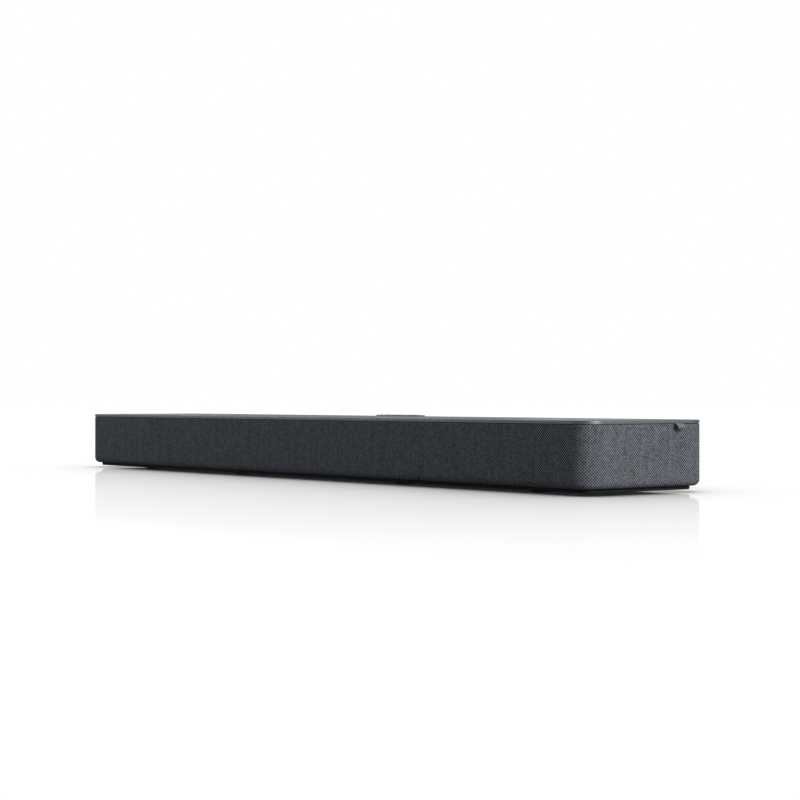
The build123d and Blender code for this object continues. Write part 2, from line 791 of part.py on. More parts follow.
def socket_shell(x, size, depth, opening, wall_low):
    """A box-shaped socket on the board's rear edge, with a plain opening in its face."""
    width, height = size
    back = SOCKET_FACE - depth
    mouth_low = SOCKET_LOW + wall_low
    body = block((x - width / 2, back, SOCKET_LOW), (x + width / 2, SOCKET_FACE, SOCKET_LOW + height))
    mouth = block(
        (x - opening[0] / 2, back + 1.5, mouth_low),
        (x + opening[0] / 2, SOCKET_FACE + 1, mouth_low + opening[1]),
    )
    with BuildPart() as shell:
        add(body)
        add(mouth, mode=Mode.SUBTRACT)
    return shell.part


def contact_tongue(x, half_width, depths, heights):
    """The flat tongue inside a socket, from its back wall to just short of its mouth."""
    return block(
        (x - half_width, SOCKET_FACE - depths[0], SOCKET_LOW + heights[0]),
        (x + half_width, SOCKET_FACE - depths[1], SOCKET_LOW + heights[1]),
    )


def make_hdmi_sockets():
    """Two video sockets, each with its contact tongue."""
    sockets = []
    for x in HDMI_X:
        shell = socket_shell(x, HDMI_SIZE, 12.0, (14.0, 4.6), 0.8)
        sockets.append(fused(shell, contact_tongue(x, 5.8, (10.5, 1.5), (2.4, 3.6))))
    return together(*sockets)


def make_usb_socket():
    """Service socket with its contact tongue."""
    shell = socket_shell(USB_X, USB_SIZE, 14.0, (12.6, 5.2), 0.8)
    return fused(shell, contact_tongue(USB_X, 5.2, (12.5, 2.0), (3.6, 5.4)))


def make_lan_socket():
    """Network socket with the notch for the plug's latch."""
    shell = socket_shell(LAN_X, LAN_SIZE, 18.0, (12.0, 8.2), 1.2)
    notch = block(
        (LAN_X - 3, SOCKET_FACE - 10, SOCKET_LOW + 9), (LAN_X + 3, SOCKET_FACE + 1, SOCKET_LOW + 12)
    )
    with BuildPart() as socket:
        add(shell)
        add(notch, mode=Mode.SUBTRACT)
    return socket.part


def make_optical_socket():
    """Optical input with its square mouth."""
    return socket_shell(OPTICAL_X, OPTICAL_SIZE, 12.0, (6.4, 6.4), 1.8)


def make_mains_inlet():
    """Two-pin mains inlet: a housing with a figure-of-eight well, and its two pins."""
    x, z = MAINS_SPOT
    face = Plane(origin=(x, SOCKET_FACE, z), x_dir=(1, 0, 0), z_dir=(0, 1, 0))
    with BuildPart() as housing:
        with BuildSketch(face):
            RectangleRounded(*MAINS_SIZE, 1.5)
        extrude(amount=-22)
        with BuildSketch(face):
            with GridLocations(7.4, 0, 2, 1):
                Circle(4.3)
            Rectangle(7.4, 6.6)
        extrude(amount=-12, mode=Mode.SUBTRACT)
    with BuildPart() as pins:
        with BuildSketch(face.offset(-12)):
            with GridLocations(8.6, 0, 2, 1):
                Circle(1.15)
        extrude(amount=10)
    return together(housing.part, pins.part)


def make_board(name):
    """A flat circuit board on the cabinet's standoffs, with clearance holes at its screws."""
    (x0, y0), (x1, y1) = BOARDS[name]
    blank = block((x0, y0, BOARD_BOTTOM), (x1, y1, BOARD_TOP))
    with BuildPart() as board:
        add(blank)
        with Locations(*[(x, y, BOARD_TOP) for x, y in STANDOFF_SPOTS if x0 < x < x1]):
            Hole(radius=1.6, depth=BOARD)
    return board.part


def make_board_screws():
    """One screw for each board standoff."""
    return together(
        *[
            turned(
                Plane(origin=(x, y, BOARD_TOP)),
                (0, -6),
                (1.2, -6),
                (1.2, 0),
                (2.6, 0),
                (2.6, 1.2),
                (1.8, 1.8),
                (0, 1.8),
            )
            for x, y in STANDOFF_SPOTS
        ]
    )


def make_processor_shield():
    """Pressed screening can over the signal processor."""
    return block((-30, -10, BOARD_TOP), (10, 25, BOARD_TOP + 4))


def make_radio_module():
    """Wireless module on the main board: a small board with its screening can."""
    return fused(
        block((40, -28, BOARD_TOP), (70, -8, BOARD_TOP + 1)),
        block((43, -26, BOARD_TOP + 1), (62, -10, BOARD_TOP + 3.2)),
    )


def make_power_transformer():
    """Switching transformer: ferrite core round a wound bobbin."""
    core = (-230, -5)
    with BuildPart() as transformer:
        with BuildSketch(Plane(origin=(*core, BOARD_TOP))):
            Rectangle(34, 30)
        extrude(amount=6)
        with BuildSketch(Plane(origin=(*core, BOARD_TOP + 6))):
            RectangleRounded(26, 30, 6)
        extrude(amount=16)
        with BuildSketch(Plane(origin=(*core, BOARD_TOP + 22))):
            Rectangle(34, 30)
        extrude(amount=5)
    return transformer.part


def make_power_capacitors():
    """Round reservoir capacitors standing on the power board."""
    return together(
        *[
            turned(
                Plane(origin=(x, y, BOARD_TOP)),
                (0, 0),
                (8, 0),
                (8, 1.5),
                (7.5, 2),
                (8, 2.5),
                (8, 28),
                (7, 29),
                (0, 29),
            )
            for x, y in [(-280, 20), (-255, 20), (-180, 20), (-160, 20)]
        ]
    )


def make_amplifier_heatsink():
    """Finned aluminium block over the amplifier chips."""
    base_top = BOARD_TOP + 4
    base = block((150, -20, BOARD_TOP), (270, 30, base_top))
    with BuildPart() as sink:
        add(base)
        with BuildSketch(Plane(origin=(210, 5, base_top))):
            with GridLocations(6, 0, 20, 1):
                Rectangle(2, 50)
        extrude(amount=18)
    return sink.part


def make_plinth_screws():
    """Countersunk screws up through the plinth into the cabinet."""
    return together(
        *[
            turned(
                Plane(origin=(x, y, FOOT_HEIGHT)),
                (0, 0.1),
                (3.2, 0.1),
                (1.5, 1.8),
                (1.5, 18),
                (0, 18),
            )
            for x, y in PLINTH_SCREW_SPOTS
        ]
    )


def make_rear_screws():
    """Pan-head screws sunk in the rear panel."""
    return together(
        *[
            turned(
                Plane(origin=(x, BACK - 1.75, z), z_dir=(0, 1, 0)),
                (0, -4.6),
                (1.5, -4.6),
                (1.5, 0),
                (3, 0),
                (3, 1.0),
                (2.2, 1.6),
                (0, 1.6),
            )
            for x, z in REAR_SCREW_SPOTS
        ]
    )


# ---------------------------------------------------------------- the whole set


def main():
    """Makes every piece and writes it to parts/."""
    os.makedirs("parts", exist_ok=True)
    write(make_grille_fabric(), "grille_fabric")
    write(make_grille_frame(), "grille_frame")
    write(make_rear_panel(), "rear_panel")
    write(make_deck(), "top_deck")
    write(make_top_grille(-GRILLE_X), "top_grille_left")
    write(make_top_grille(GRILLE_X), "top_grille_right")
    write(make_key_bezel(), "key_bezel")
    for index, name in enumerate(KEY_NAMES):
        write(make_key(index), f"key_{name}")
    write(make_key_board(), "key_board")
    write(make_key_switches(), "key_switches")
    write(make_cabinet(), "cabinet")
    write(make_plinth(), "plinth")
    write(make_feet(), "feet")
    write(make_status_window(), "status_window")
    write(make_status_board(), "status_board")
    write(make_side_tag(), "side_tag")
    write(make_deck_gasket(), "deck_gasket")
    write(make_wall_inserts(), "wall_inserts")
    for index, x in enumerate(WOOFER_X, 1):
        seat = front_seat(x)
        write(make_driver_frame(seat), f"woofer_{index}_frame")
        write(make_driver_cone(seat), f"woofer_{index}_cone")
        write(make_driver_surround(seat), f"woofer_{index}_surround")
    for side, x in (("left", -GRILLE_X), ("right", GRILLE_X)):
        seat = upfire_seat(x)
        write(make_driver_frame(seat), f"upfire_{side}_frame")
        write(make_driver_cone(seat), f"upfire_{side}_cone")
        write(make_driver_surround(seat), f"upfire_{side}_surround")
    write(together(*[make_upfire_chamber(x) for x in (-GRILLE_X, GRILLE_X)]), "upfire_chambers")
    write(together(*[make_tweeter(front_seat(x)) for x in TWEETER_X]), "tweeters")
    write(make_driver_screws(), "driver_screws")
    write(make_connector_tray(), "connector_tray")
    write(make_hdmi_sockets(), "hdmi_sockets")
    write(make_usb_socket(), "usb_socket")
    write(make_lan_socket(), "lan_socket")
    write(make_optical_socket(), "optical_socket")
    write(make_mains_inlet(), "mains_inlet")
    for name in BOARDS:
        write(make_board(name), name)
    write(make_board_screws(), "board_screws")
    write(make_processor_shield(), "processor_shield")
    write(make_radio_module(), "radio_module")
    write(make_power_transformer(), "power_transformer")
    write(make_power_capacitors(), "power_capacitors")
    write(make_amplifier_heatsink(), "amplifier_heatsink")
    write(make_plinth_screws(), "plinth_screws")
    write(make_rear_screws(), "rear_screws")


if __name__ == "__main__":
    main()
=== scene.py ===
"""A long cloth-wrapped soundbar with a flat metal deck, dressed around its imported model.

Everything is in metres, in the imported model's own frame: X along the bar, -Y its front, +Z up.
"""

import json
from math import cos, pi, radians, sin

import bpy
from mathutils import Matrix, Vector


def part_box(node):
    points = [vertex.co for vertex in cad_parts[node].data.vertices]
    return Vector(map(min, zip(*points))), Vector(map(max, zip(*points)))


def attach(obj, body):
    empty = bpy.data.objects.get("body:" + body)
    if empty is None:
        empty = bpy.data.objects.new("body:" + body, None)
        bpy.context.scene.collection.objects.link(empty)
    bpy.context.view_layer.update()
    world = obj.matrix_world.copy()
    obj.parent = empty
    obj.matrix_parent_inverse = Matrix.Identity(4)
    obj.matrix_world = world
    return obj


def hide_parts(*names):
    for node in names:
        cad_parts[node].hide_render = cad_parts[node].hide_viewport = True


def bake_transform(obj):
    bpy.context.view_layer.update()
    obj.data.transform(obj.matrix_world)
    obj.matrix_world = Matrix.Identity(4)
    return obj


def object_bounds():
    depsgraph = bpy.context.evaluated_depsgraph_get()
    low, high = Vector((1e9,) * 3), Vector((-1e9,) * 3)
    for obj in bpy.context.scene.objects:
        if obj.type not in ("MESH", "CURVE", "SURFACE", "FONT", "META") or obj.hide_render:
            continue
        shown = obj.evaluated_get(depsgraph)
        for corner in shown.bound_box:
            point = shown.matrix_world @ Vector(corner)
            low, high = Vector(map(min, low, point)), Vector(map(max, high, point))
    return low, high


bl_info = {
    "name": "Soundbar",
    "version": (1, 0, 0),
    "blender": (4, 5, 0),
    "location": "View3D > Sidebar > Soundbar",
    "description": "Dresses a packed soundbar with its cloth, metal, keys and sockets",
    "category": "Add Mesh",
}

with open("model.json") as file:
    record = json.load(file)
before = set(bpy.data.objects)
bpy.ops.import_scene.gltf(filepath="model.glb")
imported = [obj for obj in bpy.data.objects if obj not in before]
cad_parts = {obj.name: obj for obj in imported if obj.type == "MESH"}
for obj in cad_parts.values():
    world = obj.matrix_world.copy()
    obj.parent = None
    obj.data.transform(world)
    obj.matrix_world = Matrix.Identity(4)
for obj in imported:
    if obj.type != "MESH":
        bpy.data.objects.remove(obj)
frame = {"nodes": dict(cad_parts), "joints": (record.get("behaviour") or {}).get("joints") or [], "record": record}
CAD_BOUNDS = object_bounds()
MM = 0.001
HOUSING = "housing"
FABRIC_LOW, FABRIC_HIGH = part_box("grille_fabric")
PANEL_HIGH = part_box("rear_panel")[1]
WINDOW_LOW, WINDOW_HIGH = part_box("status_window")
KEY_NODES = ["key_power", "key_source", "key_volume_down", "key_volume_up", "key_play"]
DRIVERS = [f"woofer_{number}" for number in (1, 2, 3, 4)] + ["upfire_left", "upfire_right"]

CLOTH_THICK = 0.8 * MM
HEM_RETURN = 1.9 * MM  # how far the cloth goes on under the body past its rounded edge
REAR_GAP = 0.6 * MM  # between the rear panel's sides and the ends of the cloth
WINDOW_GAP = 0.2 * MM
GRILLE_CORNER = 12 * MM
GRILLE_MARGIN = 6 * MM
HOLE_SIDES = 10
SYMBOL_WIDTH = 0.55 * MM
INK_THICK = 0.04 * MM
MATERIAL_NAMES = {}  # filled by the finishes operator: slot name to material name

# The rubber roll of a drive unit, from its axis and from its mounting plane.
ROLL_INNER = 21.2 * MM
ROLL_OUTER = 23.3 * MM
ROLL_THICK = 0.4 * MM
ROLL_RIM = 0.3 * MM  # underside of the lip on the cone
ROLL_FLANGE = 1.6 * MM  # underside of the flange on the basket
ROLL_MIDDLE = -0.8 * MM  # centre of the half circle that the roll hangs in
ROLL_SIDES = 64

# Softboxes: name, place, target, size, watts, colour. The end is lit warmer than the shaded front.
WHITE = (1.0, 1.0, 1.0)
LIGHTS = (
    ("end_softbox", (3.2, 0.2, 1.2), (0.5, 0, 0.04), (1.6, 1.4), 400, (1.0, 0.96, 0.9)),
    ("front_fill", (-1.6, -1.2, 0.5), (-0.3, 0, 0.04), (0.8, 0.8), 13, WHITE),
    ("edge_light", (-2.0, -0.1, 1.5), (0.2, -0.09, 0.078), (0.4, 0.4), 20, WHITE),
    ("top_softbox", (0.2, 1.6, 2.4), (0, 0, 0.05), (3.0, 1.0), 30, WHITE),
)
CAMERA_PLACE = (1.8664, -1.3662, 0.1002)
CAMERA_TURN = 52.22  # degrees round from the front


# ---------------------------------------------------------------- settings


def colour_setting(name, hex_value, description):
    """A colour property whose default is an sRGB hex value."""
    return bpy.props.StringProperty(name=name, default=hex_value, description=description)


class SoundbarSizes(bpy.types.PropertyGroup):
    """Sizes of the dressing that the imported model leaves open."""

    weave_pitch: bpy.props.FloatProperty(
        name="Weave pitch",
        # Real yarns cross every 1 to 2 mm, too fine to show, so the weave is drawn coarser.
        description="Distance from one raised yarn crossing to the next, along the cloth",
        default=3.2 * MM,
        unit="LENGTH",
    )
    weave_relief: bpy.props.FloatProperty(
        name="Weave relief",
        description="How far a raised yarn stands above a sunk one",
        default=0.3 * MM,
        unit="LENGTH",
    )
    hem_radius: bpy.props.FloatProperty(
        name="Hem radius",
        description="Radius of the cloth's rounded lower edge",
        default=7.0 * MM,
        unit="LENGTH",
    )
    corner_radius: bpy.props.FloatProperty(
        name="Corner radius",
        description="Plan radius of the body's upright corners",
        default=22.0 * MM,
        unit="LENGTH",
    )
    perforation: bpy.props.FloatProperty(
        name="Perforation",
        description="Diameter of a hole in the deck grilles",
        default=2.2 * MM,
        unit="LENGTH",
    )
    perforation_pitch: bpy.props.FloatProperty(
        name="Perforation pitch",
        description="Distance between neighbouring holes in the deck grilles",
        default=3.6 * MM,
        unit="LENGTH",
    )
    floor_size: bpy.props.FloatProperty(
        name="Floor size", description="Side of the studio floor", default=60.0, unit="LENGTH"
    )


class SoundbarColours(bpy.types.PropertyGroup):
    """Main colours, as sRGB hex values."""

    yarn: colour_setting("Yarn", "#3d4147", "Raised yarns of the cloth")
    # Painted shade of the cloth's sunk crossings and gaps, not a yarn's own colour.
    yarn_shade: colour_setting("Yarn shade", "#050607", "Sunk yarns and the gaps between them")
    deck: colour_setting("Deck", "#3e4145", "Anodised deck")
    plastic: colour_setting("Plastic", "#1b1c1e", "Moulded covers")
    keys: colour_setting("Keys", "#2c2d30", "Key caps")
    print_ink: colour_setting("Print", "#b9bbbe", "Symbols printed on the keys")
    tag: colour_setting("Tag", "#4c4e52", "Seam tag")
    floor: colour_setting("Floor", "#ffffff", "Studio floor")


def sizes():
    """The size settings of the open scene."""
    return bpy.context.scene.soundbar_sizes


def colours():
    """The colour settings of the open scene."""
    return bpy.context.scene.soundbar_colours


# ---------------------------------------------------------------- materials


def linear(hex_value):
    """An sRGB hex value as a linear colour with full alpha."""
    parts = [int(hex_value[i : i + 2], 16) / 255 for i in (1, 3, 5)]
    return [p / 12.92 if p <= 0.04045 else ((p + 0.055) / 1.055) ** 2.4 for p in parts] + [1.0]


def grey(value):
    """A grey for ramps that drive a number."""
    return (value, value, value, 1.0)


def add_node(tree, kind, settings=None, inputs=None, links=None, stops=None):
    """Adds a node with its settings, input values and linked inputs, and a ramp's colour stops."""
    made = tree.nodes.new("ShaderNode" + kind)
    for key, value in (settings or {}).items():
        setattr(made, key, value)
    for key, value in (inputs or {}).items():
        made.inputs[key].default_value = value
    for key, output in (links or {}).items():
        tree.links.new(output, made.inputs[key])
    if stops:
        elements = made.color_ramp.elements
        while len(elements) < len(stops):
            elements.new(0.5)
        for element, (position, colour) in zip(elements, stops):
            element.position = position
            element.color = colour
    return made


def new_material(name, **surface):
    """A material with its tree and its one surface, whose sockets take the values given."""
    material = bpy.data.materials.new(name)
    material.use_nodes = True
    shader = material.node_tree.nodes["Principled BSDF"]
    for key, value in surface.items():
        shader.inputs[key.replace("_", " ")].default_value = value
    return material, material.node_tree, shader


def grain(tree, shader, size, height):
    """Gives a moulded, blasted or coated surface a fine bump, and returns the bump's noise."""
    point = add_node(tree, "TexCoord").outputs["Object"]
    noise = add_node(
        tree,
        "TexNoise",
        inputs={"Scale": 1 / size, "Detail": 3.0, "Roughness": 0.55},
        links={"Vector": point},
    ).outputs["Fac"]
    bump = add_node(
        tree, "Bump", inputs={"Strength": 1.0, "Distance": height}, links={"Height": noise}
    )
    tree.links.new(bump.outputs["Normal"], shader.inputs["Normal"])
    return noise


def vary(tree, shader, pattern, low, high, rough):
    """Lets a pattern carry a surface from one colour and roughness to another."""
    ends = {
        "Base Color": (linear(low), linear(high)),
        "Roughness": (grey(rough[0]), grey(rough[1])),
    }
    for socket, (first, last) in ends.items():
        # Noise seldom leaves the span from 0.3 to 0.7, so both ends lie there.
        ramp = add_node(tree, "ValToRGB", links={"Fac": pattern}, stops=[(0.3, first), (0.7, last)])
        tree.links.new(ramp.outputs["Color"], shader.inputs[socket])


def mottled(name, low, high, patch, bump_size, bump_height, rough=(0.4, 0.5), **surface):
    """A surface whose colour and roughness drift a little from patch to patch, over a fine grain."""
    material, tree, shader = new_material(name, **surface)
    point = add_node(tree, "TexCoord").outputs["Object"]
    drift = add_node(
        tree, "TexNoise", inputs={"Scale": 1 / patch, "Detail": 4.0}, links={"Vector": point}
    )
    vary(tree, shader, drift.outputs["Fac"], low, high, rough)
    grain(tree, shader, bump_size, bump_height)
    return material


def woven_polyester():
    """Woven polyester speaker cloth. Raised crossings catch the light, and painted shade keeps the sunk crossings
    and the gaps dark.
    """
    material, tree, shader = new_material(
        "woven_polyester_cloth", Specular_IOR_Level=0.05, Roughness=0.85
    )
    point = add_node(tree, "TexCoord").outputs["Object"]
    weave = add_node(tree, "UVMap", {"uv_map": "weave"}).outputs["UV"]
    # The map counts crossings, and raised and sunk ones alternate like a checkerboard.
    split = add_node(tree, "SeparateXYZ", links={"Vector": weave})
    waves = []
    for axis in ("X", "Y"):
        turn = add_node(tree, "Math", {"operation": "MULTIPLY"}, {1: pi}, {0: split.outputs[axis]})
        wave = add_node(tree, "Math", {"operation": "COSINE"}, links={0: turn.outputs[0]})
        waves.append(wave.outputs[0])
    both = add_node(tree, "Math", {"operation": "MULTIPLY"}, links={0: waves[0], 1: waves[1]})
    raised = add_node(
        tree, "Math", {"operation": "MULTIPLY_ADD"}, {1: -0.5, 2: 0.5}, {0: both.outputs[0]}
    ).outputs[0]
    fibre = add_node(
        tree, "TexNoise", inputs={"Scale": 1 / (0.4 * MM), "Detail": 3.0}, links={"Vector": point}
    ).outputs["Fac"]
    # The yarn is spun from mixed fibres, so each crossing is a little lighter or darker.
    middle = add_node(
        tree, "VectorMath", {"operation": "ADD"}, {1: (0.5, 0.5, 0.0)}, {0: weave}
    ).outputs[0]
    crossing = add_node(tree, "VectorMath", {"operation": "FLOOR"}, links={0: middle}).outputs[0]
    melange = add_node(
        tree, "TexWhiteNoise", {"noise_dimensions": "2D"}, links={"Vector": crossing}
    ).outputs["Value"]
    # Slubs: some upright yarns are thicker, which shows as faint streaks up the cloth.
    upright = add_node(
        tree, "Mapping", inputs={"Scale": (1.0, 1.0, 0.05)}, links={"Vector": point}
    ).outputs["Vector"]
    slub = add_node(
        tree, "TexNoise", inputs={"Scale": 1 / (5 * MM), "Detail": 1.0}, links={"Vector": upright}
    ).outputs["Fac"]
    total = raised
    for share, part in ((0.3, fibre), (0.3, melange), (0.2, slub)):
        total = add_node(
            tree, "Math", {"operation": "MULTIPLY_ADD"}, {1: share}, {0: part, 2: total}
        ).outputs[0]
    # A ramp only reads values up to 1, so the sum is halved for it.
    halved = add_node(tree, "Math", {"operation": "MULTIPLY"}, {1: 0.5}, {0: total})
    # Painted shade: the sunk crossings and the gaps are coloured towards the near-black yarn shade.
    base = add_node(
        tree,
        "ValToRGB",
        links={"Fac": halved.outputs[0]},
        stops=[(0.32, linear(colours().yarn_shade)), (0.62, linear(colours().yarn))],
    )
    tree.links.new(base.outputs["Color"], shader.inputs["Base Color"])
    bump = add_node(
        tree,
        "Bump",
        inputs={"Strength": 0.6, "Distance": 0.1 * sizes().weave_pitch},
        links={"Height": total},
    )
    tree.links.new(bump.outputs["Normal"], shader.inputs["Normal"])
    return material


def anodised_aluminium():
    """Bead-blasted, dark anodised aluminium: an even satin sheen with a very fine sparkle."""
    material, tree, shader = new_material(
        "anodised_aluminium_blasted", Metallic=0.85, Specular_Tint=linear("#d7d7d8")
    )
    # Blasted grain is about 0.1 mm across, too fine to show, so it is drawn at 0.5 mm.
    blast = grain(tree, shader, 0.5 * MM, 0.01 * MM)
    vary(tree, shader, blast, "#35383c", colours().deck, (0.46, 0.52))
    return material


def brushed_metal(name, low, high, rough, along="X", metallic=1.0):
    """A rolled, turned or brushed metal, with fine streaks along one direction."""
    material, tree, shader = new_material(name, Metallic=metallic)
    point = add_node(tree, "TexCoord").outputs["Object"]
    stretch = {"X": (0.05, 1.0, 1.0), "Y": (1.0, 0.05, 1.0), "Z": (1.0, 1.0, 0.05)}[along]
    drawn = add_node(tree, "Mapping", inputs={"Scale": stretch}, links={"Vector": point})
    # The lines of a brush or a die are about 0.1 mm apart, too fine to show, so 0.3 mm is drawn.
    streaks = add_node(
        tree,
        "TexNoise",
        inputs={"Scale": 1 / (0.3 * MM), "Detail": 4.0},
        links={"Vector": drawn.outputs["Vector"]},
    ).outputs["Fac"]
    vary(tree, shader, streaks, low, high, rough)
    bump = add_node(
        tree, "Bump", inputs={"Strength": 0.3, "Distance": 0.02 * MM}, links={"Height": streaks}
    )
    tree.links.new(bump.outputs["Normal"], shader.inputs["Normal"])
    return material


def smoked_acrylic():
    """Smoked acrylic lens: nearly black and polished, with a faint haze."""
    material, tree, shader = new_material("smoked_acrylic", IOR=1.49, Specular_IOR_Level=0.12)
    point = add_node(tree, "TexCoord").outputs["Object"]
    haze = add_node(
        tree, "TexNoise", inputs={"Scale": 1 / (8 * MM), "Detail": 2.0}, links={"Vector": point}
    )
    vary(tree, shader, haze.outputs["Fac"], "#040405", "#08080a", (0.08, 0.16))
    return material


def solder_mask():
    """Green solder mask over copper: glossy, with lighter traces showing through."""
    material, tree, shader = new_material(
        "solder_mask_board", IOR=1.5, Roughness=0.3, Coat_Weight=0.4
    )
    point = add_node(tree, "TexCoord").outputs["Object"]
    cells = add_node(
        tree,
        "TexBrick",
        inputs={
            "Scale": 1 / (12 * MM),
            "Mortar Size": 0.06,
            "Color1": linear("#123f24"),
            "Color2": linear("#164a2a"),
            "Mortar": linear("#2b6b41"),
        },
        links={"Vector": point},
    )
    tree.links.new(cells.outputs["Color"], shader.inputs["Base Color"])
    grain(tree, shader, 1.5 * MM, 0.02 * MM)
    return material


def lacquered_floor():
    """Lacquered white studio floor: matte white and faintly glowing under a thin clear gloss that mirrors faintly,
    with painted shade round the object's footprint and a painted reflection fading away from it.
    """
    material, tree, shader = new_material(
        "lacquered_white_floor",
        Specular_IOR_Level=0.0,
        Roughness=1.0,
        Coat_Roughness=0.05,
        Emission_Color=linear("#ffffff"),
    )
    point = add_node(tree, "TexCoord").outputs["Object"]
    # Painted shadow: an occlusion test darkens the floor's colour and dims its glow where the object stands, as
    # light that can't get under and round the object would.
    corner = add_node(tree, "AmbientOcclusion", {"samples": 16}, {"Distance": 0.045}).outputs["AO"]
    # Faint noise ripples the painted shadow.
    shadow_ripple = add_node(tree, "TexNoise", inputs={"Scale": 0.5}, links={"Vector": point}).outputs["Fac"]
    painted_shade_openness = add_node(
        tree, "Math", {"operation": "MULTIPLY_ADD"}, {1: 0.01}, {0: shadow_ripple, 2: corner}
    ).outputs[0]
    base = add_node(
        tree,
        "ValToRGB",
        links={"Fac": painted_shade_openness},
        stops=[(0.25, linear("#8f8f91")), (0.6, linear("#dcdcdd")), (0.85, linear(colours().floor))],
    )
    tree.links.new(base.outputs["Color"], shader.inputs["Base Color"])
    # Painted light: the floor glows faintly, least where the painted shadow lies.
    painted_glow = add_node(
        tree, "ValToRGB", links={"Fac": painted_shade_openness}, stops=[(0.5, grey(0.022)), (0.95, grey(0.035))]
    )
    tree.links.new(painted_glow.outputs["Color"], shader.inputs["Emission Strength"])
    # Painted reflection: the clear coat is laid thickest where the object stands and thins away from its
    # footprint, so that the mirror image fades out.
    low, high = Vector(CAD_BOUNDS[0]), Vector(CAD_BOUNDS[1])
    reach = point
    for operation, values in (
        ("ABSOLUTE", {}),
        ("SUBTRACT", {1: (high - low) / 2}),
        ("MAXIMUM", {1: (0.0, 0.0, 0.0)}),
    ):
        step = add_node(tree, "VectorMath", {"operation": operation}, values, {0: reach})
        reach = step.outputs["Vector"]
    distance = add_node(tree, "VectorMath", {"operation": "LENGTH"}, links={0: reach})
    reflection_fade = add_node(
        tree,
        "ValToRGB",
        links={"Fac": distance.outputs["Value"]},
        stops=[(0.0, grey(0.46)), (0.12, grey(0.36)), (0.3, grey(0.24)), (0.6, grey(0.09)), (0.9, grey(0.0))],
    )
    tree.links.new(reflection_fade.outputs["Color"], shader.inputs["Coat Weight"])
    return material


def make_materials():
    """Every finish of the object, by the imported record's slot name."""
    plastic = colours().plastic
    # Moulded grain is 0.1 to 0.3 mm across. It is drawn at 0.6 mm, so that it shows close by.
    fine = dict(patch=40 * MM, bump_size=0.6 * MM, bump_height=0.03 * MM)
    dull = dict(Specular_IOR_Level=0.15)
    return {
        "acoustic_cloth": woven_polyester(),
        "anodised_aluminium": anodised_aluminium(),
        "smoked_lens": smoked_acrylic(),
        "circuit_board": solder_mask(),
        # Moulded ABS: spark-eroded grain, a soft broken highlight.
        "black_plastic": mottled("moulded_abs_grained", plastic, "#202123", **fine, rough=(0.5, 0.6)),
        # Glass-filled nylon plinth: darker and flatter than the covers, its near-black partly painted shade from
        # the body above it.
        "plinth_plastic": mottled(
            "moulded_nylon_painted_shade", "#050506", "#09090a", **fine, rough=(0.8, 0.9), **dull
        ),
        # Keys: satin lacquered ABS, smoother than the covers around them.
        "key_plastic": mottled(
            "lacquered_abs_satin", colours().keys, "#313236", 15 * MM, 0.4 * MM, 0.008 * MM
        ),
        # Moulded PBT of the sockets: black and even, a little shinier than the covers.
        "socket_plastic": mottled("moulded_pbt_black", "#131315", "#1a1a1c", **fine, rough=(0.4, 0.5)),
        # Satin moulded ABS: as dark as the covers, with a tighter highlight.
        "tweeter_plastic": mottled("moulded_abs_satin", "#1b1b1d", "#222224", **fine),
        # Sintered ferrite: dark grey and dull, like dry stone.
        "ferrite": mottled("sintered_ferrite", "#2b2b2f", "#3a3a3f", **fine, rough=(0.6, 0.75)),
        # Paper pulp cone with a damping coat: fibrous and almost matte.
        "cone_paper": mottled(
            "coated_paper_pulp", "#1a1a1a", "#262625", 6 * MM, 0.8 * MM, 0.12 * MM, (0.7, 0.85)
        ),
        # Closed-cell foam: black and dull, its near-black partly painted shade, so that the seam it fills stays
        # dark.
        "gasket_foam": mottled("closed_cell_foam", "#0a0a0a", "#101011", **fine, rough=(0.8, 0.9), **dull),
        # Moulded silicone rubber: the dusty matte black of a foot.
        "foot_rubber": mottled("moulded_silicone_rubber", "#121212", "#1b1b1b", **fine, rough=(0.8, 0.9)),
        # Moulded butyl rubber: satin, so that a surround's roll catches a soft line of light.
        "surround_rubber": mottled("butyl_rubber_satin", "#151516", "#1c1c1d", **fine, rough=(0.5, 0.6)),
        # Powder-coated steel: a fine orange-peel texture, dark grey on the deck's grilles.
        "black_steel": mottled(
            "powder_coated_steel", "#34363a", "#3d3f44", 25 * MM, 1.0 * MM, 0.02 * MM, (0.45, 0.55)
        ),
        # The same coat nearly black, on the drive units' baskets.
        "basket_steel": mottled(
            "powder_coated_basket", "#1c1d1f", "#232426", 25 * MM, 1.0 * MM, 0.02 * MM
        ),
        # Black zinc plating on screws: dark, with a dull glint along the turning marks.
        "screw_steel": brushed_metal("black_zinc_steel", "#26272a", "#3a3b3f", (0.3, 0.45), "X", 0.9),
        # Tinned steel socket shells: bright, with soft rolled streaks.
        "socket_metal": brushed_metal("tinned_steel", "#a5a6a8", "#c2c3c5", (0.25, 0.35), "X"),
        # Turned brass: warm yellow and bright.
        "insert_brass": brushed_metal("turned_brass", "#b08d48", "#cdab66", (0.25, 0.35), "Z"),
        # Brushed aluminium tag: satin dark grey, streaked from front to back.
        "tag_aluminium": brushed_metal(
            "satin_aluminium_tag", "#414347", colours().tag, (0.38, 0.48), "Y"
        ),
        # Extruded aluminium: pale grey, with long lines from the die.
        "heatsink_aluminium": brushed_metal("extruded_aluminium", "#8f9194", "#a6a8ab", (0.35, 0.5)),
    }


# ---------------------------------------------------------------- mesh helpers


def mesh_piece(name, points, faces, slot, body=HOUSING):
    """A mesh object with its finish, riding on a body."""
    mesh = bpy.data.meshes.new(name)
    mesh.from_pydata([tuple(p) for p in points], [], faces)
    mesh.update()
    piece = bpy.data.objects.new(name, mesh)
    bpy.context.scene.collection.objects.link(piece)
    for polygon in mesh.polygons:
        polygon.use_smooth = True
    return finish_piece(piece, slot, body)


def finish_piece(piece, slot, body=HOUSING):
    """Gives a piece its slot's material and rides it on a body, if one is named."""
    piece.data.materials.clear()
    piece.data.materials.append(bpy.data.materials[MATERIAL_NAMES[slot]])
    if body:
        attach(piece, body)
    return piece


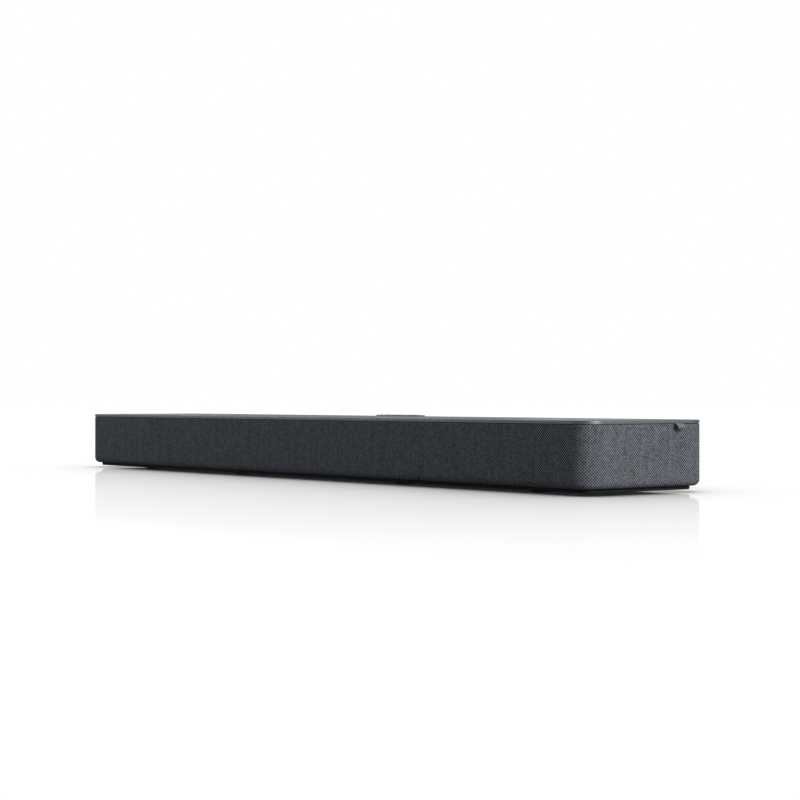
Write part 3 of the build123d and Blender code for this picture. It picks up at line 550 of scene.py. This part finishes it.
def flat_piece(name, outlines, thickness, slot, place, body=HOUSING):
    """A flat plate cut to closed outlines, the later ones as holes, standing on a placed plane."""
    curve = bpy.data.curves.new(name, "CURVE")
    curve.dimensions = "2D"
    curve.fill_mode = "BOTH"
    curve.extrude = thickness / 2
    for outline in outlines:
        spline = curve.splines.new("POLY")
        spline.points.add(len(outline) - 1)
        for point, (x, y) in zip(spline.points, outline):
            point.co = (x, y, 0, 1)
        spline.use_cyclic_u = True
    cutter = bpy.data.objects.new(name + ".outline", curve)
    mesh = bpy.data.meshes.new_from_object(cutter)
    bpy.data.objects.remove(cutter)
    mesh.transform(place @ Matrix.Translation((0, 0, thickness / 2)))
    piece = bpy.data.objects.new(name, mesh)
    bpy.context.scene.collection.objects.link(piece)
    return finish_piece(piece, slot, body)


def circle(x, y, radius, count):
    """Points round a circle."""
    turns = [2 * pi * i / count for i in range(count)]
    return [(x + radius * cos(t), y + radius * sin(t)) for t in turns]


def bar(x0, y0, x1, y1, width):
    """The four corners of a straight stroke between two points."""
    run = Vector((x1 - x0, y1 - y0)).normalized() * width / 2
    side = Vector((-run.y, run.x))
    ends = (Vector((x0, y0)), Vector((x1, y1)))
    return [tuple(ends[0] - side), tuple(ends[1] - side), tuple(ends[1] + side), tuple(ends[0] + side)]


def arc_stroke(x, y, radius, start, stop, width, count=20):
    """A curved stroke, from one angle to another in degrees."""
    turns = [radians(start + (stop - start) * i / count) for i in range(count + 1)]
    outer = [(x + (radius + width / 2) * cos(t), y + (radius + width / 2) * sin(t)) for t in turns]
    inner = [(x + (radius - width / 2) * cos(t), y + (radius - width / 2) * sin(t)) for t in turns]
    return outer + inner[::-1]


def rounded_rectangle(low, high, radius, count=8):
    """Points round a rectangle with rounded corners."""
    points = []
    centres = [
        (high[0] - radius, high[1] - radius, 0),
        (low[0] + radius, high[1] - radius, 90),
        (low[0] + radius, low[1] + radius, 180),
        (high[0] - radius, low[1] + radius, 270),
    ]
    for x, y, start in centres:
        for i in range(count + 1):
            t = radians(start + 90 * i / count)
            points.append((x + radius * cos(t), y + radius * sin(t)))
    return points


# ---------------------------------------------------------------- the cloth


def wall_path(step):
    """Points and outward directions along the sleeve's run, from one rear corner round to the other."""
    radius = sizes().corner_radius
    half, back, front = FABRIC_HIGH.x, FABRIC_HIGH.y, FABRIC_LOW.y
    stop = PANEL_HIGH.x + REAR_GAP
    runs = [
        ((-stop, back), (-half + radius, back), None),
        (None, None, ((-half + radius, back - radius), 90, 180)),
        ((-half, back - radius), (-half, front + radius), None),
        (None, None, ((-half + radius, front + radius), 180, 270)),
        ((-half + radius, front), (half - radius, front), None),
        (None, None, ((half - radius, front + radius), 270, 360)),
        ((half, front + radius), (half, back - radius), None),
        (None, None, ((half - radius, back - radius), 0, 90)),
        ((half - radius, back), (stop, back), None),
    ]
    path = []
    for start, end, arc in runs:
        if arc:
            (x, y), first, last = arc
            count = max(2, round(radius * radians(last - first) / step))
            for i in range(count):
                t = radians(first + (last - first) * i / count)
                spot = (x + radius * cos(t), y + radius * sin(t))
                path.append((Vector((*spot, 0)), Vector((cos(t), sin(t), 0))))
        else:
            a, b = Vector((*start, 0)), Vector((*end, 0))
            run = (b - a).normalized()
            outward = Vector((run.y, -run.x, 0))
            count = max(1, round((b - a).length / step))
            path += [(a.lerp(b, i / count), outward) for i in range(count)]
    path.append((Vector((stop, back, 0)), Vector((0, 1, 0))))
    return path


def wall_profile(step):
    """Pairs of (inset, height) down the sleeve, over its rounded hem and in under the body."""
    radius = sizes().hem_radius
    top, low = FABRIC_HIGH.z, FABRIC_LOW.z
    rows = max(1, round((top - low - radius) / step))
    profile = [(0.0, top - (top - low - radius) * i / rows) for i in range(rows)]
    turns = max(4, round(radius * pi / 2 / step))
    for i in range(turns + 1):
        t = pi / 2 * i / turns
        profile.append((radius * (1 - cos(t)), low + radius * (1 - sin(t))))
    profile.append((radius + HEM_RETURN, low))
    return profile


class SOUNDBAR_OT_cloth(bpy.types.Operator):
    """Stretches the woven cloth round the front, the ends and the rear corners"""

    bl_idname = "soundbar.cloth"
    bl_label = "Cloth sleeve"

    def execute(self, context):
        pitch, relief = sizes().weave_pitch, sizes().weave_relief
        step = pitch / 2
        path = wall_path(step)
        profile = wall_profile(step)
        rows = len(profile)
        points, yarns = [], []
        for i, (spot, outward) in enumerate(path):
            for j, (inset, height) in enumerate(profile):
                # Every other crossing sinks, like yarns going over and under.
                edge = j == 0 or i in (0, len(path) - 1)
                sunk = 0 if edge or (i + j) % 2 else relief
                points.append(spot - outward * (inset + sunk) + Vector((0, 0, height)))
                yarns.append((i, j))
        faces = []
        for i in range(len(path) - 1):
            middle = (path[i][0] + path[i + 1][0]) / 2
            for j in range(rows - 1):
                inset, height = profile[j]
                at_window = (
                    WINDOW_LOW.x - WINDOW_GAP < middle.x < WINDOW_HIGH.x + WINDOW_GAP
                    and middle.y < 0
                    and height < WINDOW_HIGH.z + 2 * WINDOW_GAP
                )
                if at_window:
                    continue
                corner = i * rows + j
                faces.append((corner, corner + 1, corner + rows + 1, corner + rows))
        cloth = mesh_piece("cloth_sleeve", points, faces, "acoustic_cloth")
        layer = cloth.data.uv_layers.new(name="weave")
        for loop in cloth.data.loops:
            layer.data[loop.index].uv = yarns[loop.vertex_index]
        thicken(cloth, CLOTH_THICK)
        height = sum(
            Vector((b[0] - a[0], b[1] - a[1])).length for a, b in zip(profile, profile[1:])
        )
        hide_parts("grille_fabric")
        return {"FINISHED"}


def thicken(piece, thickness):
    """Gives a surface its thickness, inwards, and applies it to the mesh."""
    solid = piece.modifiers.new("thickness", "SOLIDIFY")
    solid.thickness = thickness
    solid.offset = -1
    apply_modifiers(piece)


def apply_modifiers(piece):
    """Replaces a piece's mesh with its mesh after modifiers."""
    graph = bpy.context.evaluated_depsgraph_get()
    graph.update()
    finished = bpy.data.meshes.new_from_object(piece.evaluated_get(graph))
    piece.modifiers.clear()
    piece.data = finished


# ---------------------------------------------------------------- other pieces


class SOUNDBAR_OT_deck_grilles(bpy.types.Operator):
    """Cuts the two perforated steel grilles let into the deck"""

    bl_idname = "soundbar.deck_grilles"
    bl_label = "Deck grilles"

    def execute(self, context):
        for side in ("left", "right"):
            node = f"top_grille_{side}"
            low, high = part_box(node)
            centre = (low + high) / 2
            half = (high - low) / 2
            pitch = sizes().perforation_pitch
            rise = pitch * sin(pi / 3)
            outlines = [rounded_rectangle((-half.x, -half.y), (half.x, half.y), GRILLE_CORNER)]
            rows = int((half.y - GRILLE_MARGIN) / rise)
            for row in range(-rows, rows + 1):
                shift = pitch / 2 if row % 2 else 0
                columns = int((half.x - GRILLE_MARGIN - shift) / pitch)
                for column in range(-columns, columns + 1):
                    x, y = column * pitch + shift, row * rise
                    if abs(x) < half.x - GRILLE_MARGIN:
                        outlines.append(circle(x, y, sizes().perforation / 2, HOLE_SIDES))
            place = Matrix.Translation((centre.x, centre.y, low.z))
            grille = flat_piece(
                f"deck_grille_{side}", outlines, high.z - low.z, "black_steel", place
            )
            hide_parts(node)
        return {"FINISHED"}


def ring_about(axis, centre, profile, count):
    """Points and faces of a closed profile of (radius, height) pairs turned about an axis."""
    across = Vector((1, 0, 0))
    up = axis.cross(across)
    points, faces = [], []
    for i in range(count):
        t = 2 * pi * i / count
        out = across * cos(t) + up * sin(t)
        points += [centre + out * radius + axis * height for radius, height in profile]
    rows = len(profile)
    for i in range(count):
        near, far = i * rows, (i + 1) % count * rows
        for j in range(rows):
            k = (j + 1) % rows
            faces.append((near + j, far + j, far + k, near + k))
    return points, faces


class SOUNDBAR_OT_surrounds(bpy.types.Operator):
    """Moulds the rubber roll between each cone and its basket"""

    bl_idname = "soundbar.surrounds"
    bl_label = "Driver surrounds"

    def execute(self, context):
        joints = {joint["child"]: joint for joint in frame["joints"]}
        for driver in DRIVERS:
            motion = f"{driver}_motion"
            axis = Vector(joints[motion]["axis"]).normalized()
            seat = driver_seat(driver, axis)
            points, faces = ring_about(axis, seat, roll_profile(), ROLL_SIDES)
            roll = mesh_piece(f"{driver}_roll", points, faces, "surround_rubber", None)
            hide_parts(f"{driver}_surround")
            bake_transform(roll)
        return {"FINISHED"}


def roll_profile():
    """The closed section of a surround's roll, as (radius, height) pairs from its driver's seat."""
    middle = (ROLL_INNER + ROLL_OUTER) / 2
    reach = (ROLL_OUTER - ROLL_INNER) / 2
    turns = [pi * i / 8 for i in range(9)]
    under = [(middle - reach * cos(t), ROLL_MIDDLE - reach * sin(t)) for t in turns]
    slim = reach - ROLL_THICK
    over = [(middle - slim * cos(t), ROLL_MIDDLE - slim * sin(t)) for t in turns]
    lip = ROLL_INNER - 1.4 * MM
    skirt = ROLL_OUTER + 1.6 * MM
    return (
        [(lip, ROLL_RIM + ROLL_THICK), (lip, ROLL_RIM), (ROLL_INNER, ROLL_RIM)]
        + under
        + [(ROLL_OUTER, ROLL_FLANGE), (skirt, ROLL_FLANGE)]
        + [(skirt, ROLL_FLANGE + ROLL_THICK), (ROLL_OUTER - ROLL_THICK, ROLL_FLANGE + ROLL_THICK)]
        + over[::-1]
        + [(ROLL_INNER + ROLL_THICK, ROLL_RIM + ROLL_THICK)]
    )


def driver_seat(driver, axis):
    """The middle of a driver's mounting plane, where the top of its cone's rim lies at rest."""
    corners = [vertex.co for vertex in frame["nodes"][f"{driver}_cone"].data.vertices]
    across = Vector((1, 0, 0))
    up = axis.cross(across)
    seat = axis * max(corner.dot(axis) for corner in corners)
    for direction in (across, up):
        reaches = [corner.dot(direction) for corner in corners]
        seat += direction * (min(reaches) + max(reaches)) / 2
    return seat


def symbol_outlines(key):
    """The strokes of a key's printed symbol, about its middle."""
    w = SYMBOL_WIDTH
    reach = 1.7 * MM
    if key == "key_power":
        return [arc_stroke(0, 0, reach, 125, 415, w), bar(0, 0.3 * MM, 0, 2.2 * MM, w)]
    if key == "key_source":
        arrow = [(0.9 * MM, -1.1 * MM), (2.0 * MM, 0), (0.9 * MM, 1.1 * MM)]
        return [arc_stroke(-0.4 * MM, 0, reach, 50, 310, w), bar(-1.0 * MM, 0, 0.9 * MM, 0, w), arrow]
    if key == "key_volume_down":
        return [bar(-reach, 0, reach, 0, w)]
    if key == "key_volume_up":
        return [bar(-reach, 0, reach, 0, w), bar(0, w / 2, 0, reach, w), bar(0, -reach, 0, -w / 2, w)]
    return [[(-1.3 * MM, -1.6 * MM), (1.7 * MM, 0), (-1.3 * MM, 1.6 * MM)]]


class SOUNDBAR_OT_key_symbols(bpy.types.Operator):
    """Prints a generic symbol on each key cap"""

    bl_idname = "soundbar.key_symbols"
    bl_label = "Key symbols"

    def execute(self, context):
        # Pad-printed ink: a thin, flat film of pale grey.
        ink = mottled("pad_printed_ink", colours().print_ink, "#c6c8ca", 3 * MM, 0.3 * MM, 0.004 * MM)
        for key in KEY_NODES:
            low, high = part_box(key)
            centre = (low + high) / 2
            body = next(b for b, nodes in frame["record"]["behaviour"]["bodies"].items() if key in nodes)
            # The print lies on the cap and reads from the front.
            place = Matrix.Translation((centre.x, centre.y, high.z))
            for number, outline in enumerate(symbol_outlines(key), 1):
                name = f"{key}_symbol_{number}"
                mark = flat_piece(name, [outline], INK_THICK, "key_plastic", place, body)
                mark.data.materials[0] = ink
        return {"FINISHED"}


class SOUNDBAR_OT_finishes(bpy.types.Operator):
    """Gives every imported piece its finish"""

    bl_idname = "soundbar.finishes"
    bl_label = "Finishes"

    def execute(self, context):
        materials = make_materials()
        MATERIAL_NAMES.update({slot: material.name for slot, material in materials.items()})
        for entry in frame["record"]["subparts"]:
            node = frame["nodes"][entry["node"]]
            material = materials[entry["material_slot"]]
            if not node.data.materials:
                node.data.materials.append(material)
            for index in range(len(node.data.materials)):
                node.data.materials[index] = material
        return {"FINISHED"}


def area_light(name, place, target, size, power, colour, spared):
    """A soft rectangular studio light aimed at a point, flagged off the floor."""
    data = bpy.data.lights.new(name, "AREA")
    data.shape = "RECTANGLE"
    data.size, data.size_y = size
    data.energy = power
    data.color = colour
    lamp = bpy.data.objects.new(name, data)
    bpy.context.scene.collection.objects.link(lamp)
    lamp.location = place
    lamp.rotation_euler = (Vector(target) - Vector(place)).to_track_quat("-Z", "Y").to_euler()
    flagged = bpy.data.collections.new(name + "_flag")
    flagged.objects.link(spared)
    flagged.collection_objects[0].light_linking.link_state = "EXCLUDE"
    lamp.light_linking.receiver_collection = flagged


class SOUNDBAR_OT_studio(bpy.types.Operator):
    """Lays the white floor and sets the lights and the camera"""

    bl_idname = "soundbar.studio"
    bl_label = "Studio"

    def execute(self, context):
        half = sizes().floor_size / 2
        corners = [(-half, -half, 0), (half, -half, 0), (half, half, 0), (-half, half, 0)]
        mesh = bpy.data.meshes.new("studio_floor")
        mesh.from_pydata(corners, [], [(0, 1, 2, 3)])
        floor = bpy.data.objects.new("studio_floor", mesh)
        floor.location.z = CAD_BOUNDS[0][2] - 0.02 * MM
        context.scene.collection.objects.link(floor)
        floor.data.materials.append(lacquered_floor())

        world = bpy.data.worlds.new("studio_light")
        context.scene.world = world
        world.use_nodes = True
        background = world.node_tree.nodes["Background"]
        background.inputs["Color"].default_value = linear("#ffffff")
        background.inputs["Strength"].default_value = 1.0
        for name, place, target, size, power, colour in LIGHTS:
            area_light(name, place, target, size, power, colour, floor)

        camera_data = bpy.data.cameras.new("camera")
        camera_data.lens = 81.3
        camera_data.sensor_width = 36
        camera_data.shift_y = -0.0012
        camera_data.clip_end = 200
        camera = bpy.data.objects.new("camera", camera_data)
        context.scene.collection.objects.link(camera)
        camera.location = CAMERA_PLACE
        camera.rotation_euler = (radians(90), 0, radians(CAMERA_TURN))
        context.scene.camera = camera
        context.scene.view_settings.view_transform = "Standard"
        return {"FINISHED"}


class SOUNDBAR_PT_panel(bpy.types.Panel):
    """Lists the soundbar's operators in the sidebar"""

    bl_label = "Soundbar"
    bl_idname = "SOUNDBAR_PT_panel"
    bl_space_type = "VIEW_3D"
    bl_region_type = "UI"
    bl_category = "Soundbar"

    def draw(self, context):
        for settings in (context.scene.soundbar_sizes, context.scene.soundbar_colours):
            for name in settings.bl_rna.properties.keys():
                if name not in ("rna_type", "name"):
                    self.layout.prop(settings, name)
        for operator in OPERATORS:
            self.layout.operator(operator.bl_idname)


OPERATORS = (
    SOUNDBAR_OT_studio,
    SOUNDBAR_OT_finishes,
    SOUNDBAR_OT_cloth,
    SOUNDBAR_OT_deck_grilles,
    SOUNDBAR_OT_key_symbols,
    SOUNDBAR_OT_surrounds,
)
CLASSES = (SoundbarSizes, SoundbarColours) + OPERATORS + (SOUNDBAR_PT_panel,)


def register():
    """Registers the classes and hangs the settings on the scene."""
    for each in CLASSES:
        bpy.utils.register_class(each)
    bpy.types.Scene.soundbar_sizes = bpy.props.PointerProperty(type=SoundbarSizes)
    bpy.types.Scene.soundbar_colours = bpy.props.PointerProperty(type=SoundbarColours)


def unregister():
    """Takes the settings and the classes away again."""
    del bpy.types.Scene.soundbar_colours
    del bpy.types.Scene.soundbar_sizes
    for each in reversed(CLASSES):
        bpy.utils.unregister_class(each)


def main():
    """Builds the studio and every piece."""
    register()
    bpy.ops.soundbar.studio()
    bpy.ops.soundbar.finishes()
    bpy.ops.soundbar.cloth()
    bpy.ops.soundbar.deck_grilles()
    bpy.ops.soundbar.key_symbols()
    bpy.ops.soundbar.surrounds()


if __name__ == "__main__":
    main()
